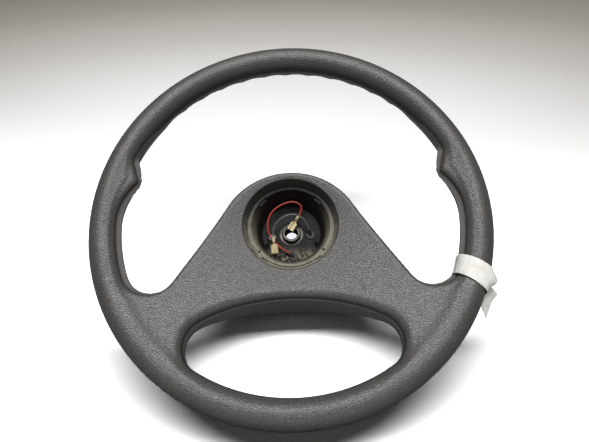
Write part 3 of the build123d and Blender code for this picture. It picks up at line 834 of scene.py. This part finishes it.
def foam_material():
    """Grained skin in front of the parting line, smooth behind it, dusty in the hub's mouth."""
    mat, tree, shader = material("foam_skin")
    link = tree.links.new
    place = places(tree)
    x, y, z = axes_of(tree, place)
    flat = tree.nodes.new("ShaderNodeCombineXYZ")
    link(x, flat.inputs[0])
    link(y, flat.inputs[1])
    length = tree.nodes.new("ShaderNodeVectorMath")
    length.operation = "LENGTH"
    link(flat.outputs[0], length.inputs[0])
    r = length.outputs["Value"]
    part = node(tree, "ShaderNodeAttribute", attribute_name="part").outputs["Fac"]
    behind = eased(tree, part, -0.5, 0.5)
    in_mouth = math_node(tree, "LESS_THAN", r, MOUTH_EDGE)
    at_front = math_node(tree, "GREATER_THAN", z, LIP_Z)
    grained = remainder(tree, math_node(tree, "MAXIMUM", behind, in_mouth))

    # Pebbles with creases, longer across the wheel than down it
    warp = textured(tree, "ShaderNodeTexNoise", place, "Color", Scale=420.0, Detail=2.0)
    shifted = tree.nodes.new("ShaderNodeVectorMath")
    shifted.operation = "MULTIPLY_ADD"
    link(warp, shifted.inputs[0])
    shifted.inputs[1].default_value = GRAIN_WARP
    link(places(tree, GRAIN_STRETCH), shifted.inputs[2])
    grain = shifted.outputs[0]
    edge = textured(tree, "ShaderNodeTexVoronoi", grain, "Distance",
                    feature="DISTANCE_TO_EDGE", Scale=560.0, Randomness=1.0)
    pebble = eased(tree, edge, 0.0, 0.22)
    tuft = textured(tree, "ShaderNodeTexNoise", grain, 0, Scale=700.0, Detail=3.0, Roughness=0.6)
    height = math_node(tree, "MULTIPLY_ADD", tuft, 0.9, pebble)

    # Skin: painted shade in the grain's creases and along the edge before the parting line, painted light
    # behind it
    broad = textured(tree, "ShaderNodeTexNoise", place, 0, Scale=11.0, Detail=4.0, Roughness=0.55)
    colour = ramp(tree, broad, FOAM_TONES)
    crease = product(tree, grained, remainder(tree, pebble))
    colour = tinted(tree, colour, crease, 0.5, CREASE_SHADE_COLOUR)
    edge_shade = node(tree, "ShaderNodeAttribute", attribute_name="edge").outputs["Fac"]
    edge_shade = product(tree, edge_shade, remainder(tree, behind))
    colour = tinted(tree, colour, edge_shade, 0.85, EDGE_SHADE_COLOUR)
    colour = tinted(tree, colour, behind, 0.6, REAR_PAINTED_LIGHT)

    # Smudge on the right of the panel
    near = []
    for socket, middle, half in zip((x, y), SMUDGE_AT, SMUDGE_HALF):
        offset = math_node(tree, "DIVIDE", math_node(tree, "SUBTRACT", socket, middle), half)
        near.append(product(tree, offset, offset))
    smudge = eased(tree, math_node(tree, "ADD", *near), 1.4, 0.2)
    colour = tinted(tree, colour, product(tree, smudge, at_front), 0.6, SMUDGE_COLOUR)

    # Dust on the mouth's wall, more of it towards the bottom, and a dark line along the wall's front edge
    speck = textured(tree, "ShaderNodeTexNoise", place, 0, Scale=170.0, Detail=5.0, Roughness=0.7)
    dust = product(tree, eased(tree, y, *DUST_FADE), eased(tree, speck, 0.25, 0.6), in_mouth)
    wall = mixed(tree, in_mouth, colour, WALL_COLOUR)
    colour = mixed(tree, dust, wall, DUST_COLOUR)
    lip = math_node(tree, "COMPARE", r, MOUTH_EDGE, LIP_HALF)
    lip = product(tree, lip, at_front, eased(tree, y, *LIP_FADE))
    colour = tinted(tree, colour, lip, 0.7, LIP_COLOUR)
    link(colour, shader.inputs["Base Color"])

    bump = bumped(tree, shader, height, 1.0, 0.00045)
    link(math_node(tree, "MULTIPLY_ADD", grained, 0.3, 0.04), bump.inputs["Strength"])
    link(math_node(tree, "MULTIPLY_ADD", dust, 0.3, 0.42), shader.inputs["Roughness"])
    shader.inputs["Specular IOR Level"].default_value = 0.6
    return mat


def plain_material(name, low, high, scale, rough, metal, bump):
    """Material of two close colours in a fine noise, with a fine bump."""
    mat, tree, shader = material(name)
    noise = textured(tree, "ShaderNodeTexNoise", places(tree), 0, Scale=scale, Detail=4.0, Roughness=0.6)
    colour = ramp(tree, noise, ((0.3, (*low, 1)), (0.7, (*high, 1))))
    tree.links.new(colour, shader.inputs["Base Color"])
    shader.inputs["Roughness"].default_value = rough
    shader.inputs["Metallic"].default_value = metal
    bumped(tree, shader, noise, bump, 0.0003)
    return mat


def liner_material():
    """Black plastic with crumbs at the bottom of the cup and a film of dust on its lower wall."""
    mat, tree, shader = material("black_plastic")
    link = tree.links.new
    place = places(tree)
    y, z = axes_of(tree, place)[1:]
    noise = textured(tree, "ShaderNodeTexNoise", place, 0, Scale=90.0, Detail=5.0, Roughness=0.65)
    colour = ramp(tree, noise, CUP_TONES)
    crumb = textured(tree, "ShaderNodeTexVoronoi", place, "Color", Scale=520.0, Randomness=1.0)
    tone = tree.nodes.new("ShaderNodeSeparateColor")
    link(crumb, tone.inputs[0])
    low = product(tree, eased(tree, y, *CRUMB_FADE_Y), eased(tree, z, *CRUMB_FADE_Z))
    in_cup = math_node(tree, "GREATER_THAN", z, CUP_Z)
    heap = eased(tree, math_node(tree, "MULTIPLY_ADD", tone.outputs[0], 0.35, noise), 0.58, 0.7)
    crumbs = product(tree, low, in_cup, heap)
    colour = tinted(tree, colour, crumbs, 0.85, CRUMB_COLOUR)
    film = product(tree, eased(tree, z, *FILM_FADE_Z), eased(tree, y, *FILM_FADE_Y))
    film = product(tree, film, eased(tree, noise, 0.2, 0.5))
    link(mixed(tree, film, colour, FILM_COLOUR), shader.inputs["Base Color"])
    link(math_node(tree, "MULTIPLY_ADD", crumbs, 0.3, 0.55), shader.inputs["Roughness"])
    shader.inputs["Specular IOR Level"].default_value = 0.12
    bumped(tree, shader, math_node(tree, "MULTIPLY_ADD", crumbs, 3.0, noise), 0.15, 0.0004)
    return mat


def paper_material():
    """Creped paper, with painted shade in the low parts of its creases."""
    mat, tree, shader = material("paper")
    crease = textured(tree, "ShaderNodeTexNoise", places(tree), 0,
                      Scale=120.0, Detail=5.0, Roughness=0.62, Distortion=0.6)
    fibre = textured(tree, "ShaderNodeTexNoise", places(tree, FIBRE_STRETCH), 0, Scale=900.0, Detail=2.0)
    tree.links.new(ramp(tree, crease, PAPER_TONES_WITH_CREASE_SHADE), shader.inputs["Base Color"])
    shader.inputs["Roughness"].default_value = 0.8
    bumped(tree, shader, math_node(tree, "MULTIPLY_ADD", fibre, 0.3, crease), 0.35, 0.0005)
    return mat


# Darker and lighter colour, scale of the noise, roughness, metal and bump of each plain material
PLAIN = {
    "skeleton_steel": ((0.09, 0.09, 0.09), (0.16, 0.155, 0.15), 90, 0.5, 1.0, 0.1),
    "boss_steel": ((0.025, 0.023, 0.02), (0.085, 0.08, 0.066), 160, 0.4, 0.8, 0.1),
    "brass": ((0.78, 0.64, 0.35), (0.92, 0.79, 0.5), 150, 0.4, 0.4, 0.05),
    "screw_steel": ((0.4, 0.4, 0.38), (0.55, 0.54, 0.5), 150, 0.35, 1.0, 0.05),
    "bush_rubber": ((0.01, 0.01, 0.01), (0.02, 0.0195, 0.018), 200, 0.6, 0.0, 0.1),
    "red_insulation": ((0.36, 0.03, 0.022), (0.48, 0.055, 0.04), 120, 0.4, 0.0, 0.02),
    "black_insulation": ((0.09, 0.09, 0.088), (0.14, 0.14, 0.136), 120, 0.28, 0.0, 0.02),
}
MATS = {name: plain_material(name, *values) for name, values in PLAIN.items()}
MATS["foam_skin"] = foam_material()
MATS["black_plastic"] = liner_material()
MATS["paper"] = paper_material()

for piece, slot_name in ((foam, "foam_skin"), (tape, "paper")):
    piece.data.materials.append(MATS[slot_name])
for row in frame["record"]["subparts"]:
    for place in nodes[row["node"]].material_slots:
        place.material = MATS[row["material_slot"]]

# Horn wires: routes and radius in millimetres
RED_ROUTE = [
    (-2.677, -22.882, 18.099), (-9.692, -18.205, 21.247), (-18.5, -10.5, 20.5), (-25.8, 3.0, 22.5),
    (-23.5, 19.0, 26.0), (-11.0, 29.5, 28.0), (5.0, 33.0, 29.0), (14.2, 25.4, 26.7), (8.2, 16.5, 24.5),
]
BLACK_ROUTE = [
    (19.003, 1.813, 19.893), (16.632, 8.641, 26.058), (9.0, 16.0, 31.0), (-3.0, 16.5, 32.0),
    (-13.5, 10.5, 30.5), (-19.4, 1.3, 28.3), (-18.8, -6.5, 26.5),
]
WIRE_R = 0.9


def wire(name, route, slot_name, node_name):
    """Insulated wire on a smooth line."""
    curve = bpy.data.curves.new(name, "CURVE")
    curve.dimensions = "3D"
    curve.bevel_depth = WIRE_R * MM
    curve.bevel_resolution = 5
    curve.resolution_u = 16
    curve.use_fill_caps = True
    spline = curve.splines.new("NURBS")
    spline.points.add(len(route) - 1)
    for point, spot in zip(spline.points, route):
        point.co = (*(c * MM for c in spot), 1)
    spline.order_u = 3
    spline.use_endpoint_u = True
    obj = bpy.data.objects.new(name, curve)
    scene.collection.objects.link(obj)
    curve.materials.append(MATS[slot_name])
    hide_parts(node_name)
    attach(obj, "root")


wire("wire_red", RED_ROUTE, "red_insulation", "horn_wire_red")
wire("wire_black", BLACK_ROUTE, "black_insulation", "horn_wire_black")

# Camera at the photograph's viewpoint
CAMERA_AT = (0.0103, -0.1568, 0.4851)
CAMERA_TURNS = (("Y", 0.80), ("X", 20.06), ("Z", -1.80))
FOCAL_PIXELS = 460.0
PICTURE_PIXELS = 589.0
SENSOR = 36.0
camera_data = bpy.data.cameras.new("camera")
camera = bpy.data.objects.new("camera", camera_data)
scene.collection.objects.link(camera)
camera.matrix_world = Matrix.Translation(CAMERA_AT)
for axis, degrees in CAMERA_TURNS:
    camera.matrix_world = camera.matrix_world @ Matrix.Rotation(math.radians(degrees), 4, axis)
camera_data.sensor_width = SENSOR
camera_data.lens = FOCAL_PIXELS / PICTURE_PIXELS * SENSOR
camera_data.clip_start = 0.01
scene.camera = camera

# Table that the wheel lies on, with its own frame: X across, Y away from the viewer, Z up
TABLE_HALF = 1.6
TABLE_NEAR = -0.30
TABLE_FAR = 2.2
GLOW_AT = (-0.0004, 0.0146, 0.0)
GLOW_R = 0.0085
GLOW_COLOUR = (0.9, 0.88, 0.93, 1)
TABLE_BRIGHT = 2.0
TABLE_GREY = 0.26
FALLOFF_SKEW = 0.1
FALLOFF_WIDTH = 0.6
FALLOFF_START = 0.3
# Painted falloff of the light: the table's tone by the distance behind the wheel
TABLE_PAINTED_FALLOFF = (
    (0.0, grey(1.0)),
    (0.12, grey(0.62)),
    (0.24, (0.42, 0.42, 0.415, 1)),
    (0.35, (0.34, 0.337, 0.332, 1)),
    (0.49, (0.235, 0.227, 0.215, 1)),
    (0.65, (0.15, 0.144, 0.127, 1)),
    (0.9, (0.08, 0.076, 0.062, 1)),
)
tilt = math.radians(TABLE_TILT_DEG)
up = Vector((0, math.sin(tilt), math.cos(tilt)))
across = Vector((1, 0, 0))
along = up.cross(across)
table_mesh = bpy.data.meshes.new("table")
table_verts = [
    (-TABLE_HALF, TABLE_NEAR, 0),
    (TABLE_HALF, TABLE_NEAR, 0),
    (TABLE_HALF, TABLE_FAR, 0),
    (-TABLE_HALF, TABLE_FAR, 0),
]
table_mesh.from_pydata(table_verts, [], [(0, 1, 2, 3)])
table = bpy.data.objects.new("table", table_mesh)
scene.collection.objects.link(table)
table.matrix_world = Matrix.Translation(up * TABLE_OFFSET * MM) @ Matrix.Rotation(-tilt, 4, "X")


def table_material():
    """White for the camera, with painted shade fading it to grey far behind the wheel, and grey for the
    light it throws back.
    """
    mat, tree, shader = material("table")
    link = tree.links.new
    tree.nodes.remove(shader)
    light_path = tree.nodes.new("ShaderNodeLightPath")
    seen = light_path.outputs["Is Camera Ray"]
    place = places(tree)
    x, y = axes_of(tree, place)[:2]
    # Painted shade that grows with the distance behind the wheel and to the sides
    far = math_node(tree, "MAXIMUM", math_node(tree, "MULTIPLY_ADD", x, FALLOFF_SKEW, y), 0.0)
    wide = product(tree, x, FALLOFF_WIDTH, eased(tree, far, 0.0, FALLOFF_START))
    square = math_node(tree, "MULTIPLY_ADD", far, far, product(tree, wide, wide))
    falloff_tone = ramp(tree, math_node(tree, "SQRT", square), TABLE_PAINTED_FALLOFF)
    bright = mixed(tree, 1.0, falloff_tone, grey(TABLE_BRIGHT), "MULTIPLY")
    tone = mixed(tree, seen, grey(TABLE_GREY), bright)
    paper_white = tree.nodes.new("ShaderNodeBsdfDiffuse")
    link(tone, paper_white.inputs["Color"])

    # The table glows under the hub, where the bore looks through to it
    spot = tree.nodes.new("ShaderNodeVectorMath")
    spot.operation = "DISTANCE"
    link(place, spot.inputs[0])
    spot.inputs[1].default_value = GLOW_AT
    glow = tree.nodes.new("ShaderNodeEmission")
    glow.inputs["Color"].default_value = GLOW_COLOUR
    under = math_node(tree, "LESS_THAN", spot.outputs["Value"], GLOW_R)
    under = product(tree, under, seen)
    both = tree.nodes.new("ShaderNodeMixShader")
    link(under, both.inputs[0])
    link(paper_white.outputs[0], both.inputs[1])
    link(glow.outputs[0], both.inputs[2])
    link(both.outputs[0], tree.nodes["Material Output"].inputs["Surface"])
    return mat


table_mesh.materials.append(table_material())

# Dim room that the camera sees as pale
ROOM_LIGHT = grey(0.02)
ROOM_SEEN = (0.75, 0.74, 0.72, 1)
world = bpy.data.worlds.new("world")
scene.world = world
world.use_nodes = True
tree = world.node_tree
back_light = tree.nodes["Background"]
light_path = tree.nodes.new("ShaderNodeLightPath")
rays = [light_path.outputs[name] for name in ("Is Camera Ray", "Is Transmission Ray")]
room = mixed(tree, math_node(tree, "MAXIMUM", *rays), ROOM_LIGHT, ROOM_SEEN)
tree.links.new(room, back_light.inputs["Color"])


def lamp(name, spot, aim, size, power):
    """Rectangular soft light that faces a point."""
    data = bpy.data.lights.new(name, "AREA")
    data.shape = "RECTANGLE"
    data.size, data.size_y = size
    data.energy = power
    obj = bpy.data.objects.new(name, data)
    scene.collection.objects.link(obj)
    obj.location = spot
    obj.rotation_euler = (Vector(aim) - Vector(spot)).to_track_quat("-Z", "Y").to_euler()
    return obj


# Lamps, with separate ones for the wheel, the table and the tape
KEY_LEAN_DEG = 8.0
TABLE_LIGHT_LEAN_DEG = 25.0


def leaning(degrees):
    """Direction up from the table that leans away from the viewer."""
    angle = math.radians(degrees)
    return up * math.cos(angle) + along * math.sin(angle)


hub = Vector((0, 0, 0.06))
front_place = hub - along * 0.45 + up * 0.12
tape_place = hub - along + up * 0.32 + across * 0.5
key = lamp("key", hub + leaning(KEY_LEAN_DEG) * 2.5, hub, (1.8, 0.6), 50.0)
top_light = lamp("top", hub + up * 1.2, hub, (0.9, 0.4), 4.5)
front_light = lamp("front", front_place, hub, (0.5, 0.15), 0.35)
table_light = lamp("table_light", hub + leaning(TABLE_LIGHT_LEAN_DEG) * 1.25, hub, (3.0, 0.32), 33.0)
tape_light = lamp("tape_light", tape_place, hub, (0.8, 0.3), 2.2)


def lit_by(lamps, name, things, state):
    """Limits lamps to some things, or keeps the things out of their light."""
    group = bpy.data.collections.new(name)
    for thing in things:
        group.objects.link(thing)
    for link in group.collection_objects:
        link.light_linking.link_state = state
    for light in lamps:
        light.light_linking.receiver_collection = group


lit_by([key, top_light, front_light], "all_but_table", [table], "EXCLUDE")
lit_by([table_light], "table_only", [table], "INCLUDE")
lit_by([tape_light], "tape_only", [tape], "INCLUDE")

scene.view_settings.view_transform = "Standard"
